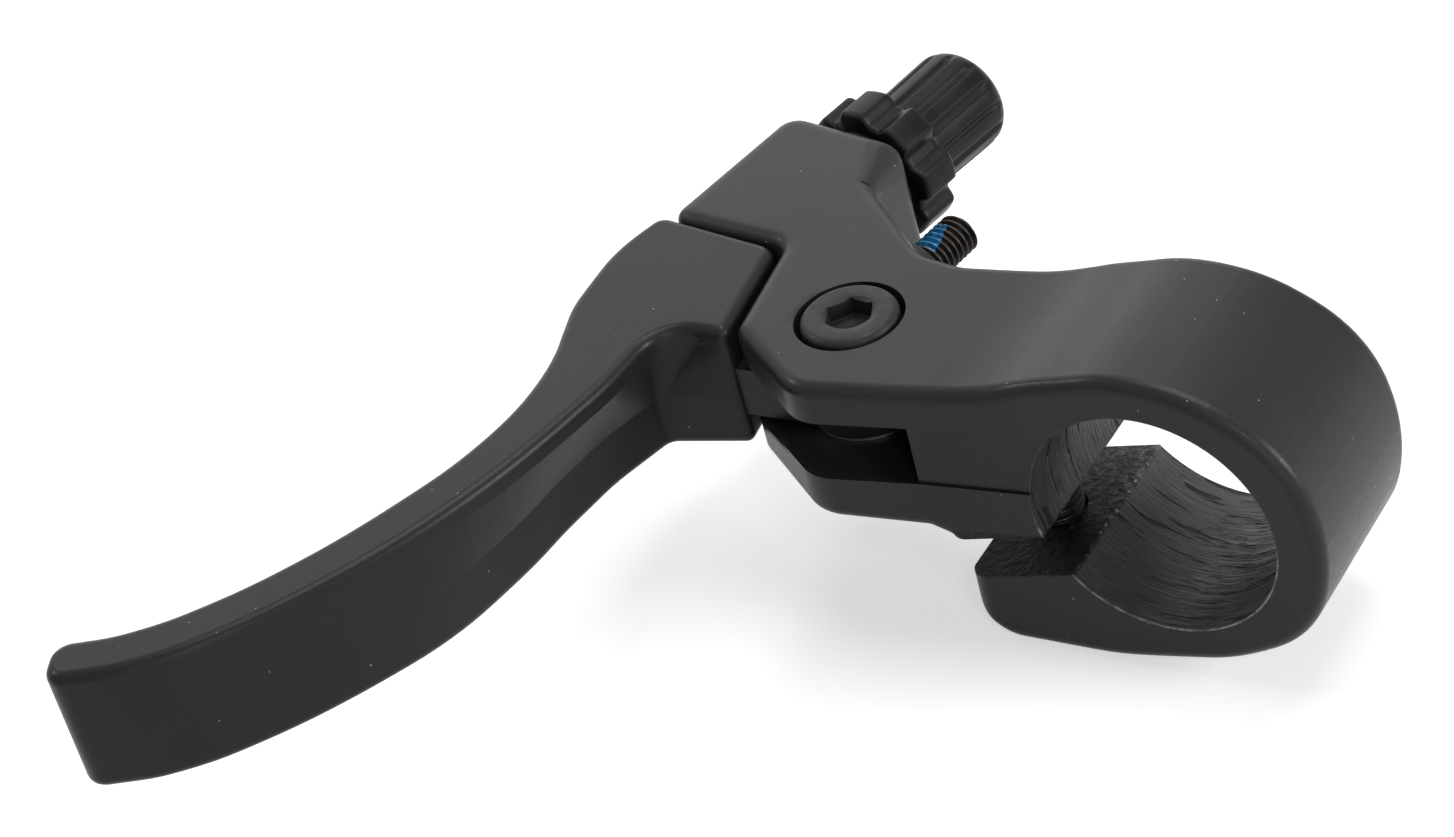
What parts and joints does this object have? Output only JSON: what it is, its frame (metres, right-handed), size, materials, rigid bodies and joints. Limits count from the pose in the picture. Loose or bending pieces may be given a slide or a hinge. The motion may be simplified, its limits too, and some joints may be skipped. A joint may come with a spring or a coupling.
{
  "type": "bicycle brake lever",
  "caption": "Two-finger bicycle brake lever on a handlebar clamp bracket, with a barrel adjuster and locknut, a reach screw, a pivot bolt and a clamp bolt.",
  "frame": {"origin": "centre of the handlebar clamp's bore, half way across the clamp's width", "axes": "+Y along the handlebar, +Z along the lever pivot towards its bolt head, -X from the bar to the lever; the blade hangs to -Y"},
  "size_m": [0.0917, 0.1033, 0.0308],
  "materials": {
    "bracket_paint": "satin black powder coat",
    "blade_paint": "satin black powder coat",
    "black_steel": "black oxide",
    "plain_steel": "zinc plated",
    "bush_plastic": "moulded acetal",
    "barrel_anodised": "black anodised",
    "patch_nylon": "blue nylon"
  },
  "bodies": {
    "bracket": {"lever_bracket": "bracket_paint", "pivot_bolt": "black_steel", "pivot_nut": "plain_steel", "pivot_washer_upper": "bush_plastic", "pivot_washer_lower": "bush_plastic", "clamp_bolt": "black_steel", "clamp_washer": "plain_steel"},
    "lever": {"lever_blade": "blade_paint", "pivot_bush": "bush_plastic"},
    "barrel": {"barrel_adjuster": "barrel_anodised"},
    "locknut": {"barrel_locknut": "barrel_anodised"},
    "reach": {"reach_screw": "black_steel", "reach_screw_patch": "patch_nylon"}
  },
  "joints": [
    {"name": "lever_pull", "type": "hinge", "parent": "bracket", "child": "lever", "pos_m": [-0.03, -0.00166, 0.0047], "axis": [0, 0, 1], "range_deg": [0, 46]},
    {"name": "barrel_out", "type": "slide", "parent": "bracket", "child": "barrel", "axis": [0.1951, 0.9808, 0], "range_m": [0, 0.008]},
    {"name": "locknut_turn", "type": "hinge", "parent": "barrel", "child": "locknut", "pos_m": [-0.04381, 0.02785, 0.0047], "axis": [0.1951, 0.9808, 0], "continuous": true},
    {"name": "reach_out", "type": "slide", "parent": "bracket", "child": "reach", "axis": [0.1736, 0.9848, 0], "range_m": [0, 0.003]}
  ]
}
